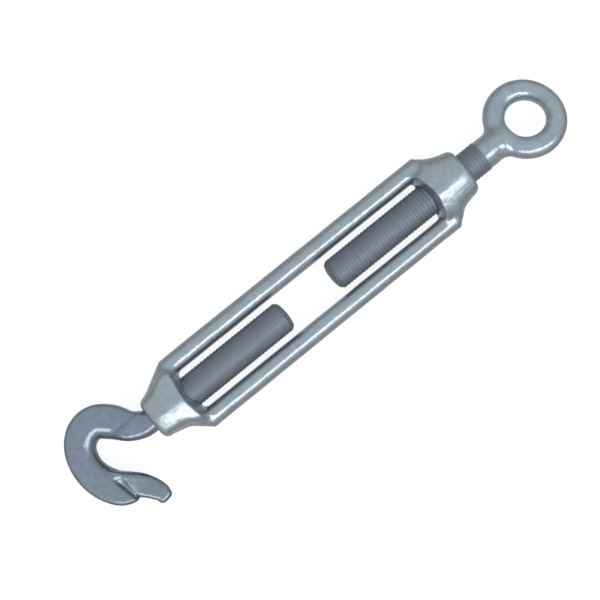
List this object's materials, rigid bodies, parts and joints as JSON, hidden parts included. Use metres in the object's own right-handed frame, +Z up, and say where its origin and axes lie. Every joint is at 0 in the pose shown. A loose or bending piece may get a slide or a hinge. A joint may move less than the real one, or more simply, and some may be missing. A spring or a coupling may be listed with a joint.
{
  "type": "rigging turnbuckle",
  "caption": "Hook-and-eye turnbuckle with an open two-bar frame that turns on opposite-handed threads to tighten a wire or rope.",
  "frame": {"origin": "middle of the part's footprint, on the surface that the frame's forged flats rest on", "axes": "+X along the thread axis from the hook to the eye, +Y towards the hook's back (its mouth opens to -Y), +Z up from the surface, across the frame's two bars' plane"},
  "size_m": [0.3132, 0.0626, 0.0264],
  "materials": {
    "frame_zinc": "hot-dip galvanised drop forging, softly glossy grey with faint drawn streaks",
    "hook_zinc": "hot-dip galvanised forging, softly glossy blue-grey with mottling",
    "eye_zinc": "hot-dip galvanised forging, softly glossy blue-grey with mottling",
    "thread_zinc": "cut or rolled thread under zinc, duller and darker in the roots"
  },
  "bodies": {
    "hook_bolt": {"hook_bolt": "hook_zinc"},
    "thread_carrier": {"hook_end_thread": "thread_zinc"},
    "frame": {"frame_body": "frame_zinc"},
    "eye_bolt": {"eye_bolt": "eye_zinc"}
  },
  "joints": [
    {"name": "frame_travel", "type": "slide", "parent": "hook_bolt", "child": "thread_carrier", "axis": [1, 0, 0], "range_m": [-0.0016, 0.0626]},
    {"name": "frame_turn", "type": "hinge", "parent": "thread_carrier", "child": "frame", "pos_m": [0, 0.00415, 0.0132], "axis": [1, 0, 0], "range_deg": [-270, 11250]},
    {"name": "eye_travel", "type": "slide", "parent": "hook_bolt", "child": "eye_bolt", "axis": [1, 0, 0], "range_m": [-0.0031, 0.1251]}
  ],
  "couplings": [
    {"joint": "frame_travel", "follows": "frame_turn", "m_per_rad": 0.00031831},
    {"joint": "eye_travel", "follows": "frame_turn", "m_per_rad": 0.00063662}
  ]
}
